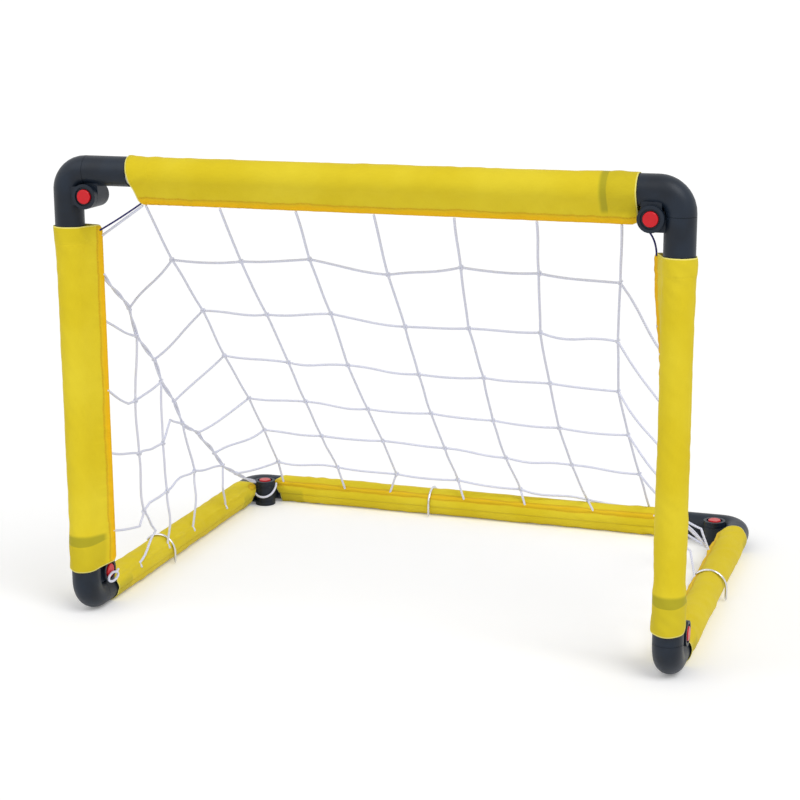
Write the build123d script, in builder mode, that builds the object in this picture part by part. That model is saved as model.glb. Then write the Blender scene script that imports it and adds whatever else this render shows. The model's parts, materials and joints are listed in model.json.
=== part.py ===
"""Folding junior football goal: six sleeved tubes, six push-button hinged elbows, a knotted net
and three wire ground pegs. Millimetres, +X to the goal's right, +Y to its rear, +Z up, with the
origin on the ground under the middle of the goal."""
import os
from math import asin, cos, pi, radians, sin, tan

from build123d import *

os.makedirs("parts", exist_ok=True)

# Frame: distances between tube axes
goal_width = 600.0  # left post to right post
goal_height = 440.0  # base bars to crossbar
goal_depth = 440.0  # post plane to rear bar

# Tubes and their sockets
tube_radius = 12.5
tube_wall = 1.5
socket_radius = 14.5
socket_clearance = 0.1
socket_reach = 68.0  # elbow corner to the socket's mouth
tube_stop = 34.0  # elbow corner to the end of the tube inside
stop_clearance = 0.3

# Elbow hinge
bend_radius = 20.0
seam_offset = 22.0  # corner to the seam between the two halves
seam_gap = 0.3
pivot_offset = 24.0  # from each tube axis to the hinge axis
ear_radius = 12.2
ear_outer = 15.0  # hinge middle to the outer face of an ear
knuckle_half = 8.8
ear_clearance = 0.3  # between knuckle and ear, along the axis and round it
ear_web = 2.4
web_width = 3.0  # how far a web starts from its ear's rim
pin_radius = 3.0
pin_clearance = 0.05
pin_head_radius = 5.5
pin_head = 1.2
ring_radius = 9.2
ring_depth = 1.6

# Button, its lock gear and spring
button_radius = 7.0
button_proud = 0.9  # above the ear's face
button_travel = 2.5
button_clearance = 0.3
button_dome = 0.6
gear_teeth = 8
gear_radius = 9.0
gear_root = 7.8
gear_height = 2.4
gear_clearance = 0.4
lip_depth = 2.9
spring_wire = 0.9
spring_radius = 5.0
spring_turns = 2
spring_steps = 8  # straight runs in a turn
spring_gap = 0.3

# Cloth sleeves
cloth = 0.7
cloth_clearance = 0.3
hem_reach = 27.0  # tube axis to where the two sides of a hanging sleeve meet
fin_reach = 31.0  # tube axis to the stitched edge
fin_overlap = 3.0
post_fin_turn = 30.0  # the posts' fins point inwards and this far to the rear
seam_band = 13.0  # width of the stitched band on a snug base sleeve
seam_drop = 1.0  # the band's upper edge below the bar's axis
foot_flat = 0.3  # the floor flattens a base sleeve by this much
crossbar_left_end = 67.0
crossbar_left_skew = 9.0
crossbar_right_end = 37.0
left_post_top_end = 54.5
right_post_top_end = 57.5
post_foot_front = 32.0
post_foot_rear = 38.5
base_sleeve_end = 40.0

# Net
cord_radius = 1.3
knot_gap = 0.4
net_columns = 7
net_rows = 6
net_first_column = 84.0  # left post to the first column, at the crossbar
net_column_pitch = 76.5
net_lean = 52.0  # how far the columns' feet lie to the left of their tops
net_sag = 12.0
row_overrun = 6.0  # how far a row runs on past the outer column before it drops to the seam
row_first_step = 0.154
row_step_loss = 0.001
seam_first = 0.10  # where the side seams' knots lie, as shares of the depth
seam_step = 0.115
seam_sag = 70.0
seam_inset = 4.0  # the seams' rear ends, from the ends of the side sleeves
side_rows = 5
side_row_top = 104.0  # crossbar axis to the first side row, at the post
side_row_pitch = 67.0
side_inset = 14.0  # side seams, from the post's axis
right_seam_belly = 40.0  # how much further in the right seam is drawn at its middle
net_gap = 0.3  # between a strand's end and what it is tied to
net_foot_angle = 45.0  # where the columns touch the rear sleeve, above its rear
corner_strand_top = 79.0  # left corner strand: along the crossbar, and down the post
corner_strand_foot = 66.0

# Ground pegs
peg_wire = 1.4
peg_clearance = 0.3
peg_hook_angle = 140.0
peg_hook_runs = 10
left_peg_place = 169.0  # from the post plane
right_peg_place = 232.0
rear_peg_place = 233.0  # from the left post

# Laces between the fins at the top corners, each with one bend between its ends
lace_radius = 0.9
lace_gap = 0.3
lace_inset = 2.5  # from a fin's stitched edge
left_lace_start = 80.0  # from the corner, along the crossbar
left_lace_end = 60.0  # from the corner, down the post
left_lace_bend = (0.5, 1.5)  # share of the way, and drop below the straight line
right_lace_start = 40.0
right_lace_end = 63.0
right_lace_bend = (0.5, -4.0)
lace_bend = 0.45  # arc radius as a share of the shorter run, over the tangent of half the turn

# Worked out from the sizes above
tube_bore = tube_radius + socket_clearance
sleeve_bore = socket_radius + cloth_clearance
sleeve_radius = sleeve_bore + cloth
ear_inner = knuckle_half + ear_clearance
seam_low = seam_offset - seam_gap / 2
seam_high = seam_offset + seam_gap / 2
band_radius = sleeve_radius + 2 * cloth
peg_radius = band_radius + peg_clearance + peg_wire
peg_lift = peg_radius - peg_wire - peg_clearance - sleeve_radius
button_face = ear_outer + button_proud
gear_top = ear_outer - lip_depth - button_clearance
gear_low = gear_top - gear_height

bar_z = sleeve_radius - foot_flat
top_z = bar_z + goal_height
left_x = -(goal_width + peg_radius + peg_wire - sleeve_radius) / 2
right_x = left_x + goal_width
front_y = -(goal_depth + sleeve_radius - button_face) / 2
rear_y = front_y + goal_depth


def save(node, name):
    """Name a finished piece and write it."""
    node.part.label = name
    export_step(node.part, f"parts/{name}.step")


def save_group(pieces, name):
    """Write the like pieces of one body as one node of separate solids."""
    with BuildPart() as group:
        add(pieces)
    save(group, name)


class Corner:
    """An elbow's frame: x runs along the bend half's leg, z is the hinge axis towards the
    button, and side is +1 or -1 for the straight half's leg along +y or -y."""

    def __init__(self, place, leg, straight, button):
        self.place = Vector(*place)
        self.leg = Vector(*leg)
        self.straight = Vector(*straight)
        self.plane = Plane(origin=place, x_dir=leg, z_dir=button)
        self.side = round(self.plane.y_dir.dot(self.straight))
        self.pivot = (pivot_offset, self.side * pivot_offset)


corners = {
    "top_left": Corner((left_x, front_y, top_z), (0, 0, -1), (1, 0, 0), (0, -1, 0)),
    "top_right": Corner((right_x, front_y, top_z), (-1, 0, 0), (0, 0, -1), (0, -1, 0)),
    "front_left": Corner((left_x, front_y, bar_z), (0, 0, 1), (0, 1, 0), (1, 0, 0)),
    "front_right": Corner((right_x, front_y, bar_z), (0, 1, 0), (0, 0, 1), (1, 0, 0)),
    "rear_left": Corner((left_x, rear_y, bar_z), (0, -1, 0), (1, 0, 0), (0, 0, 1)),
    "rear_right": Corner((right_x, rear_y, bar_z), (-1, 0, 0), (0, -1, 0), (0, 0, 1)),
}


def wire(points, radius):
    """A cord or wire: a six-sided bar along straight runs with mitred bends."""
    with BuildLine() as run:
        Polyline(*points)
    with BuildSketch(Plane(origin=points[0], z_dir=run.line % 0)) as section:
        RegularPolygon(radius, 6)
    sweep(section.sketch, path=run.line, transition=Transition.RIGHT)


def disc(corner, low, high, radius, mode=Mode.ADD):
    """A round slab about the hinge axis, from low to high along it."""
    with BuildSketch(corner.plane.offset(low)) as face:
        with Locations(corner.pivot):
            Circle(radius)
    extrude(face.sketch, amount=high - low, mode=mode)


def socket_bore(corner, direction):
    """The tube's seat in a leg, from the mouth down to the stop."""
    mouth = corner.place + direction * socket_reach
    with BuildSketch(Plane(origin=mouth, z_dir=-direction)) as face:
        Circle(tube_bore)
    extrude(face.sketch, amount=socket_reach - tube_stop, mode=Mode.SUBTRACT)


def gear(corner, low, high, root, tip, mode=Mode.ADD):
    """A slab with square-cut teeth about the hinge axis, from low to high along it."""
    tooth = pi * root / gear_teeth
    with BuildSketch(corner.plane.offset(low)) as outline:
        with Locations(corner.pivot):
            RegularPolygon(root, 2 * gear_teeth)
            with PolarLocations(tip / 2, gear_teeth):
                Rectangle(tip, tooth)
    extrude(outline.sketch, amount=high - low, mode=mode)


def bend_half(corner):
    """Quarter bend with its leg socket and the two outer ears of the hinge."""
    low_web = corner.side * (seam_low + pivot_offset - ear_radius - web_width) / 2
    web_depth = seam_low - (pivot_offset - ear_radius - web_width)
    with BuildPart() as half:
        with BuildLine(corner.plane) as route:
            FilletPolyline(
                (socket_reach, 0), (0, 0), (0, corner.side * seam_low), radius=bend_radius
            )
        with BuildSketch(Plane(origin=route.line @ 0, z_dir=route.line % 0)):
            Circle(socket_radius)
        sweep()
        disc(corner, -ear_inner, ear_inner, ear_radius + ear_clearance, Mode.SUBTRACT)
        for start, web_start in ((ear_inner, ear_inner), (-ear_outer, -ear_inner - ear_web)):
            disc(corner, start, start + ear_outer - ear_inner, ear_radius)
            with BuildSketch(corner.plane.offset(web_start)):
                with Locations((pivot_offset, low_web)):
                    Rectangle(2 * (ear_radius - web_width), web_depth)
            extrude(amount=ear_web)
        disc(corner, -ear_outer - 1, ear_inner, pin_radius + pin_clearance, Mode.SUBTRACT)
        disc(corner, -ear_outer - 1, -ear_outer + pin_head, pin_head_radius, Mode.SUBTRACT)
        disc(corner, gear_top + button_clearance, ear_outer, button_radius + button_clearance,
             Mode.SUBTRACT)
        disc(corner, ear_outer - ring_depth, ear_outer, ring_radius, Mode.SUBTRACT)
        gear(corner, ear_inner, gear_top + button_clearance, gear_root + gear_clearance,
             gear_radius + gear_clearance, Mode.SUBTRACT)
        socket_bore(corner, corner.leg)
    return half.part


def straight_half(corner):
    """Straight socket with the middle knuckle of the hinge."""
    root = corner.place + corner.straight * seam_high
    with BuildPart() as half:
        with BuildSketch(Plane(origin=root, z_dir=corner.straight)):
            Circle(socket_radius)
        extrude(amount=socket_reach - seam_high)
        disc(corner, -knuckle_half, knuckle_half, ear_radius)
        with BuildSketch(corner.plane.offset(-knuckle_half)):
            with Locations((pivot_offset / 2, corner.side * (pivot_offset + ear_radius / 2))):
                Rectangle(pivot_offset, ear_radius)
        extrude(amount=2 * knuckle_half)
        disc(corner, -knuckle_half, knuckle_half, pin_radius + pin_clearance, Mode.SUBTRACT)
        gear(corner, 0, knuckle_half, gear_root + gear_clearance, gear_radius + gear_clearance,
             Mode.SUBTRACT)
        socket_bore(corner, corner.straight)
    return half.part


def hinge_pin(corner):
    """Headed pin, from its seat in the plain ear up to where the pressed button comes down."""
    with BuildPart() as pin:
        disc(corner, -ear_outer, -ear_outer + pin_head - pin_clearance,
             pin_head_radius - pin_clearance)
        disc(corner, -ear_outer, gear_low - button_travel - pin_clearance, pin_radius)
    return pin.part


def button(corner, name):
    """Push button with a domed cap and the toothed lock gear under it."""
    with BuildPart() as cap:
        disc(corner, gear_low, button_face, button_radius)
        dome = cap.edges().sort_by(Axis(corner.plane.origin, corner.plane.z_dir))[-1]
        chamfer(dome, button_dome)
        gear(corner, gear_low, gear_top, gear_root, gear_radius)
    save(cap, name)


def button_spring(corner):
    """Open coil round the pin, from the knuckle's floor up to the lock gear."""
    foot = spring_gap + spring_wire
    rise = gear_low - spring_gap - spring_wire - foot
    coil = []
    for step in range(spring_turns * spring_steps + 1):
        turn = 2 * pi * step / spring_steps
        x = corner.pivot[0] + spring_radius * cos(turn)
        y = corner.pivot[1] + spring_radius * sin(turn)
        z = foot + rise * step / (spring_turns * spring_steps)
        coil.append(corner.plane.from_local_coords(Vector(x, y, z)))
    with BuildPart() as spring:
        wire(coil, spring_wire / 2)
    return spring.part


front_corners = ("top_left", "top_right")
base_corners = ("rear_left", "rear_right")
front_bends = [corners[name] for name in (*front_corners, "front_left")]
front_straights = [corners[name] for name in (*front_corners, "front_right")]
base_bends = [corners[name] for name in (*base_corners, "front_right")]
base_straights = [corners[name] for name in (*base_corners, "front_left")]

save_group([bend_half(corner) for corner in front_bends], "front_frame_elbow_bends")
save_group([bend_half(corner) for corner in base_bends], "base_elbow_bends")
save_group([straight_half(corner) for corner in front_straights], "front_frame_elbow_sockets")
save_group([straight_half(corner) for corner in base_straights], "base_elbow_sockets")
save_group([hinge_pin(corner) for corner in front_bends], "front_frame_hinge_pins")
save_group([hinge_pin(corner) for corner in base_bends], "base_hinge_pins")
save_group([button_spring(corner) for corner in front_bends], "front_frame_button_springs")
save_group([button_spring(corner) for corner in base_bends], "base_button_springs")
for corner_name, corner_frame in corners.items():
    button(corner_frame, f"{corner_name}_button")


def tube(start, direction, length, name):
    """Plain round tube between the stops of two elbows."""
    foot = Vector(*start) + Vector(*direction) * (tube_stop + stop_clearance)
    with BuildPart() as pipe:
        with BuildSketch(Plane(origin=foot, z_dir=direction)):
            Circle(tube_radius)
            Circle(tube_radius - tube_wall, mode=Mode.SUBTRACT)
        extrude(amount=length - 2 * (tube_stop + stop_clearance))
    save(pipe, name)


tube((left_x, front_y, top_z), (1, 0, 0), goal_width, "crossbar_tube")
tube((left_x, front_y, bar_z), (0, 0, 1), goal_height, "left_post_tube")
tube((right_x, front_y, bar_z), (0, 0, 1), goal_height, "right_post_tube")
tube((left_x, front_y, bar_z), (0, 1, 0), goal_depth, "left_side_tube")
tube((right_x, front_y, bar_z), (0, 1, 0), goal_depth, "right_side_tube")
tube((left_x, rear_y, bar_z), (1, 0, 0), goal_width, "rear_tube")


def post_fin(side):
    """The way a post's fin points: inwards, and partly to the rear."""
    turn = radians(post_fin_turn)
    return Vector(side * cos(turn), sin(turn), 0)


def drop_outline(radius, reach):
    """Section of cloth hung over a tube: a circle whose two tangents meet at reach along +x."""
    turn = asin(radius / reach)
    touch = (radius * sin(turn), radius * cos(turn))
    with BuildSketch(mode=Mode.PRIVATE) as outline:
        Circle(radius)
        Polygon((reach, 0), touch, (touch[0], -touch[1]), align=None)
    return outline.sketch


def hanging_sleeve(start, direction, fin, low_end, high_end, near, skew, span, name):
    """Cloth tube stitched along a fin, its ends low_end and high_end from start. The low end is
    cut askew: it starts at low_end on the near side and skew further on, span across."""
    axis, near = Vector(*direction), Vector(*near)
    place = Vector(*start)
    bore_reach = hem_reach * sleeve_bore / sleeve_radius
    with BuildPart() as sleeve:
        with BuildSketch(Plane(origin=place + axis * low_end, x_dir=fin, z_dir=direction)):
            add(drop_outline(sleeve_radius, hem_reach))
            with Locations(((fin_reach + hem_reach - fin_overlap) / 2, 0)):
                Rectangle(fin_reach - hem_reach + fin_overlap, 2 * cloth)
            add(drop_outline(sleeve_bore, bore_reach), mode=Mode.SUBTRACT)
        extrude(amount=high_end - low_end)
        edge = place + axis * low_end + near * sleeve_radius
        split(bisect_by=Plane(origin=edge, z_dir=axis + near * (skew / span)), keep=Keep.TOP)
    save(sleeve, name)


hanging_sleeve(
    (left_x, front_y, top_z), (1, 0, 0), (0, 0, -1), crossbar_left_end,
    goal_width - crossbar_right_end, (0, 0, 1), crossbar_left_skew, sleeve_radius + fin_reach,
    "crossbar_sleeve",
)
hanging_sleeve(
    (left_x, front_y, bar_z), (0, 0, 1), post_fin(1), post_foot_front,
    goal_height - left_post_top_end, (0, -1, 0), post_foot_rear - post_foot_front,
    2 * sleeve_radius, "left_post_sleeve",
)
hanging_sleeve(
    (right_x, front_y, bar_z), (0, 0, 1), post_fin(-1), post_foot_front,
    goal_height - right_post_top_end, (0, -1, 0), post_foot_rear - post_foot_front,
    2 * sleeve_radius, "right_post_sleeve",
)


def snug_sleeve(start, direction, inwards, length, name):
    """Close cloth tube on a base bar, its stitched band flat on the inner side, its foot
    flattened by the floor. The section's +y points down."""
    end = Vector(*start) + Vector(*direction) * base_sleeve_end
    with BuildPart() as sleeve:
        with BuildSketch(Plane(origin=end, x_dir=inwards, z_dir=direction)):
            Circle(band_radius)
            with Locations((band_radius / 2, seam_drop + seam_band / 2)):
                Rectangle(band_radius, seam_band, mode=Mode.INTERSECT)
            Circle(sleeve_radius)
            with Locations((0, sleeve_radius - foot_flat)):
                Rectangle(2 * band_radius, band_radius, align=(Align.CENTER, Align.MIN),
                          mode=Mode.SUBTRACT)
            Circle(sleeve_bore, mode=Mode.SUBTRACT)
        extrude(amount=length - 2 * base_sleeve_end)
    save(sleeve, name)


snug_sleeve((left_x, front_y, bar_z), (0, 1, 0), (1, 0, 0), goal_depth, "left_side_sleeve")
snug_sleeve((right_x, rear_y, bar_z), (0, -1, 0), (-1, 0, 0), goal_depth, "right_side_sleeve")
snug_sleeve((left_x, rear_y, bar_z), (1, 0, 0), (0, -1, 0), goal_width, "rear_sleeve")


def ground_peg(place, leg_side, name):
    """Bent wire: a pointed leg beside the bar and a hook over it."""
    side, up = Vector(*leg_side), Vector(0, 0, 1)
    middle = Vector(*place) - up * peg_lift
    route = [Vector(*place) + side * peg_radius + up * (peg_clearance - bar_z)]
    for step in range(peg_hook_runs + 1):
        turn = radians(peg_hook_angle * step / peg_hook_runs)
        route.append(middle + (side * cos(turn) + up * sin(turn)) * peg_radius)
    with BuildPart() as peg:
        wire(route, peg_wire)
        chamfer(peg.faces().sort_by(Axis.Z)[0].edges(), peg_wire / 2)
    save(peg, name)


ground_peg((left_x, front_y + left_peg_place, bar_z), (1, 0, 0), "left_peg")
ground_peg((right_x, front_y + right_peg_place, bar_z), (1, 0, 0), "right_peg")
ground_peg((left_x + rear_peg_place, rear_y, bar_z), (0, -1, 0), "rear_peg")


def lace(side, start_along, end_down, bend, name):
    """Thin cord from behind the crossbar's fin to the front of a post's fin: two straight runs
    in one upright plane, joined by a tangent arc."""
    post = Vector(left_x if side > 0 else right_x, front_y, top_z)
    fin = post_fin(side)
    stand_off = cloth + lace_gap + lace_radius
    reach = fin_reach - lace_inset
    start = post + Vector(side * start_along, stand_off, -reach)
    face = Vector(side * fin.Y, -abs(fin.X), 0)
    end = post + fin * reach + face * stand_off - Vector(0, 0, end_down)
    share, drop = bend
    middle = start + (end - start) * share - Vector(0, 0, drop)
    runs = middle - start, end - middle
    turn = radians(runs[0].get_angle(runs[1]))
    radius = lace_bend * min(runs[0].length, runs[1].length) / tan(turn / 2)
    level = Vector(end.X - start.X, end.Y - start.Y, 0).normalized()
    upright = Plane(origin=start, x_dir=level, z_dir=level.cross(Vector(0, 0, 1)))
    points = [upright.to_local_coords(point) for point in (start, middle, end)]
    with BuildPart() as cord:
        with BuildLine(upright) as path:
            FilletPolyline(*[(point.X, point.Y) for point in points], radius=radius)
        with BuildSketch(Plane(origin=path.line @ 0, z_dir=path.line % 0)):
            RegularPolygon(lace_radius, 6)
        sweep()
    save(cord, name)


lace(1, left_lace_start, left_lace_end, left_lace_bend, "left_lace")
lace(-1, right_lace_start, right_lace_end, right_lace_bend, "right_lace")


# The net hangs from the crossbar's fin to the rear sleeve and is laced to the posts' fins and
# the side sleeves. Rows pass over columns, a strand and knot_gap above them.
net_touch = sleeve_radius + net_gap + cord_radius
net_top = Vector(0, front_y, top_z - fin_reach - net_gap - cord_radius)
net_foot = Vector(
    0,
    rear_y + net_touch * cos(radians(net_foot_angle)),
    bar_z + net_touch * sin(radians(net_foot_angle)),
)
over = 2 * cord_radius + knot_gap
slope = net_foot - net_top
row_lift = Vector(0, -slope.Z, slope.Y).normalized() * over


def back_knot(column, share):
    """A point of the back panel, share of the way down a column, with the panel's sag."""
    down = net_top + slope * share
    across = left_x + net_first_column + net_column_pitch * column - net_lean * share
    return down + Vector(across, 0, -net_sag * 4 * share * (1 - share))


def row_share(row):
    """How far down the panel a row lies. The cells get a little shorter towards the rear."""
    return row * (row_first_step - row_step_loss * row)


def seam_knot(side, row):
    """A knot of a side seam, which hangs slack between the post and the rear corner."""
    share = seam_first + seam_step * row
    sag = seam_sag * sin(pi * share**1.2)
    post_x = left_x if side > 0 else right_x
    height = net_top.Z + (net_foot.Z - net_top.Z) * share - sag
    belly = 0 if side > 0 else right_seam_belly * sin(pi * share)
    return Vector(post_x + side * (side_inset + belly), front_y + goal_depth * share, height)


def bar_tie(side, place, room):
    """Where a strand meets a side sleeve: on its upper inner side, room further in."""
    post_x = left_x if side > 0 else right_x
    across = net_touch * cos(radians(net_foot_angle)) + room
    lift = net_touch * sin(radians(net_foot_angle))
    return Vector(post_x + side * across, place, bar_z + lift)


def tie_run(side, run):
    """How far a strand runs on at its bar tie, so that the rim of its cut end is what lies
    net_gap from the sleeve, however steeply it comes in."""
    inwards = Vector(-side * cos(radians(net_foot_angle)), 0, -sin(radians(net_foot_angle)))
    return cord_radius * tan(radians(90 - run.get_angle(inwards)) / 2)


def post_tie(side, row):
    """Where a side row is tied to the post's fin."""
    post_x = left_x if side > 0 else right_x
    drop = side_row_top + side_row_pitch * (row - 1)
    reach = fin_reach + net_gap + cord_radius
    return Vector(post_x, front_y, top_z - drop) + post_fin(side) * reach


def side_knot(side, row, column):
    """Where a side row crosses the column that hangs from a seam knot."""
    start, end, above = post_tie(side, row), seam_knot(side, row), seam_knot(side, column)
    return start + (end - start) * ((above.Y - start.Y) / (end.Y - start.Y))


def trimmed(points, first, last):
    """A route with its ends pulled in by these lengths."""
    head = points[0] + (points[1] - points[0]).normalized() * first
    tail = points[-1] + (points[-2] - points[-1]).normalized() * last
    return [head, *points[1:-1], tail]


with BuildPart() as back_net:
    for column in range(net_columns):
        shares = [0, *(row_share(row + 1) for row in range(net_rows)), 1]
        wire([back_knot(column, share) for share in shares], cord_radius)
    for row in range(1, net_rows + 1):
        first = back_knot(0, row_share(row)) + row_lift - Vector(row_overrun, 0, 0)
        last = back_knot(net_columns - 1, row_share(row)) + row_lift + Vector(row_overrun, 0, 0)
        row_route = trimmed([seam_knot(1, row), first, last, seam_knot(-1, row)], over, over)
        wire(row_route, cord_radius)
save(back_net, "back_net")

for side, side_name in ((1, "left"), (-1, "right")):
    outwards = Vector(-side * over, 0, 0)
    with BuildPart() as side_net:
        seam = [seam_knot(side, row + 1) for row in range(net_rows)]
        seam_end = bar_tie(side, rear_y - base_sleeve_end - seam_inset, 0)
        wire([post_tie(side, 1), *seam, seam_end], cord_radius)
        for row in range(2, side_rows + 1):
            crossings = [side_knot(side, row, column) for column in range(1, row)]
            route = trimmed([post_tie(side, row), *crossings, seam_knot(side, row)], 0, over)
            wire(route, cord_radius)
        for column in range(1, side_rows + 1):
            top = seam_knot(side, column)
            crossings = [side_knot(side, row, column) for row in range(column + 1, side_rows + 1)]
            route = [top, *crossings, bar_tie(side, top.Y, over)]
            route = trimmed(route, over, -tie_run(side, route[-1] - route[-2]))
            wire([point + outwards for point in route], cord_radius)
        if side > 0:
            tie = post_tie(side, 1)
            along = left_x + corner_strand_top
            start = Vector(along, front_y, net_top.Z)
            wire([start, Vector(tie.X, tie.Y, top_z - corner_strand_foot)], cord_radius)
    save(side_net, f"{side_name}_net")
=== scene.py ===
"""The looks of a folding junior football goal: moulded elbows, sewn sleeves, a knotted net, wire
pegs and laces. Metres, +X to the goal's right, +Y to its rear, +Z up."""
import json
from math import asin, cos, pi, radians, sin, tau

import bmesh
import bpy
import numpy as np
from mathutils import Matrix, Vector


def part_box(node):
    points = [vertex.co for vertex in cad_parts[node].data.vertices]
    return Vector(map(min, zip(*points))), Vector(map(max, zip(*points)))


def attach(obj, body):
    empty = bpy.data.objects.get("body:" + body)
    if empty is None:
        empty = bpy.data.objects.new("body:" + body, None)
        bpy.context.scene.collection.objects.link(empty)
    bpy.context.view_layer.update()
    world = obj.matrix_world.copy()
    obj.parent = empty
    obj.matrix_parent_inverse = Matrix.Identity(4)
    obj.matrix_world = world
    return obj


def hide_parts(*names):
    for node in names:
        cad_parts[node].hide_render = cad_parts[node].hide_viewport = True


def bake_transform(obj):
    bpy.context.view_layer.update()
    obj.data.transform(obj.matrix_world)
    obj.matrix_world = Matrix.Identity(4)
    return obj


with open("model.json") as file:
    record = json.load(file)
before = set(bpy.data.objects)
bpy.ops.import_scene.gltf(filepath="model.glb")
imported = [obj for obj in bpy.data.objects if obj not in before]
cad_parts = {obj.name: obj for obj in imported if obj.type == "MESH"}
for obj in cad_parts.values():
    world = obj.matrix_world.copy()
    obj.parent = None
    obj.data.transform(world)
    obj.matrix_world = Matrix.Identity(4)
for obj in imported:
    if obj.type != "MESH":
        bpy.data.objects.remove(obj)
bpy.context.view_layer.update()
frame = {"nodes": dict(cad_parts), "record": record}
MM = 0.001


# Places, from the frame

def middle(node):
    """The middle of a node's box."""
    low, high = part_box(node)
    return np.array((low + high) / 2)


left = middle("left_post_tube")[0]
right = middle("right_post_tube")[0]
front = middle("crossbar_tube")[1]
rear = middle("rear_tube")[1]
top = middle("crossbar_tube")[2]
low_bar = middle("rear_tube")[2]
width = right - left
depth = rear - front
height = top - low_bar
X, Y, Z = np.eye(3)


def corner_at(across, along, up):
    return np.array((across, along, up))


# Camera, floor and light

camera = bpy.data.objects.new("camera", bpy.data.cameras.new("camera"))
bpy.context.scene.collection.objects.link(camera)
camera.data.lens = 83.3
camera.data.sensor_width = 36.0
camera_place = Vector((0.57971, -1.82525, 0.65603))
camera_turn, camera_tilt, camera_roll = 0.32555, -0.23568, -0.00512
camera.matrix_world = (
    Matrix.Translation(camera_place)
    @ Matrix.Rotation(camera_turn, 4, "Z")
    @ Matrix.Rotation(pi / 2 + camera_tilt, 4, "X")
    @ Matrix.Rotation(camera_roll, 4, "Z")
)
bpy.context.scene.camera = camera
bpy.context.scene.view_settings.view_transform = "Standard"


class Wire:
    """A value or colour inside a material. Arithmetic on it adds the nodes that work it out."""

    def __init__(self, paint, socket):
        self.paint = paint
        self.socket = socket

    def math(self, operation, *others):
        return self.paint.node("Math", {"operation": operation}, dict(enumerate((self, *others))))

    def __add__(self, other):
        return self.math("ADD", other)

    __radd__ = __add__

    def __mul__(self, other):
        return self.math("MULTIPLY", other)

    __rmul__ = __mul__

    def __sub__(self, other):
        return self.math("SUBTRACT", other)

    def __rsub__(self, other):
        return self.paint.node("Math", {"operation": "SUBTRACT"}, {0: other, 1: self})

    def wave(self):
        """The sine of the value, moved and scaled to run from 0 to 1."""
        return self.math("SINE") * 0.5 + 0.5

    def above(self, low, high):
        """0 below low, 1 above high, and smooth between."""
        limits = {"Value": self, "From Min": low, "From Max": high}
        return self.paint.node("MapRange", {"interpolation_type": "SMOOTHSTEP"}, limits)


class Paint:
    """A material under construction."""

    def __init__(self, name):
        self.material = bpy.data.materials.new(name)
        self.material.use_nodes = True
        self.tree = self.material.node_tree
        self.tree.nodes.clear()

    def node(self, kind, settings=(), inputs=(), output=0):
        """Adds a node, makes its settings, then gives its sockets values or links."""
        made = self.tree.nodes.new("ShaderNode" + kind)
        for name, value in dict(settings).items():
            setattr(made, name, value)
        for name, value in dict(inputs).items():
            if isinstance(value, Wire):
                self.tree.links.new(value.socket, made.inputs[name])
            else:
                made.inputs[name].default_value = value
        return Wire(self, made.outputs[output])

    def place(self):
        return self.node("TexCoord", output="Object")

    def attribute(self, name):
        return self.node("Attribute", {"attribute_name": name}, output="Fac")

    def noise(self, where, scale, detail=3.0):
        return self.node("TexNoise", (), {"Vector": where, "Scale": scale, "Detail": detail})

    def stretched(self, where, scale):
        return self.node("Mapping", (), {"Vector": where, "Scale": scale})

    def mixed(self, share, first, second):
        return self.node("Mix", {"data_type": "RGBA"}, {0: share, 6: first, 7: second}, 2)

    def bump(self, depth, height, normal=None):
        inputs = {"Distance": depth, "Height": height}
        if normal is not None:
            inputs["Normal"] = normal
        return self.node("Bump", (), inputs)

    def finish(self, **inputs):
        """The surface, with its sockets named in lower case with underscores."""
        sockets = {name.replace("_", " ").title().replace("Ior", "IOR"): value
                   for name, value in inputs.items()}
        shader = self.node("BsdfPrincipled", (), sockets)
        surface = self.tree.nodes.new("ShaderNodeOutputMaterial").inputs["Surface"]
        self.tree.links.new(shader.socket, surface)
        return self.material


def shade(red, green, blue):
    """A colour given as it looks on a screen, 0 to 255, as linear light."""
    value = np.array((red, green, blue)) / 255
    linear = np.where(value < 0.04045, value / 12.92, ((value + 0.055) / 1.055) ** 2.4)
    return (*linear, 1.0)


def floor_finish():
    """Matt white floor, lifted a little for the camera alone, so that it meets the sky unseen and
    still takes the goal's shadow."""
    paint = Paint("pale_floor")
    cloud = paint.noise(paint.place(), 1.5)
    tone = paint.mixed(cloud, (0.94, 0.94, 0.94, 1), (0.96, 0.96, 0.96, 1))
    rays = paint.node("LightPath")
    seen = rays.math("MAXIMUM", Wire(paint, rays.socket.node.outputs["Is Glossy Ray"]))
    seen = seen.math("MAXIMUM", Wire(paint, rays.socket.node.outputs["Is Transmission Ray"]))
    lift = paint.mixed(seen, (0, 0, 0, 1), (floor_lift, floor_lift, floor_lift, 1))
    return paint.finish(base_color=tone, roughness=0.9, specular_ior_level=0.1,
                        emission_color=lift, emission_strength=1.0)


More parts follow.
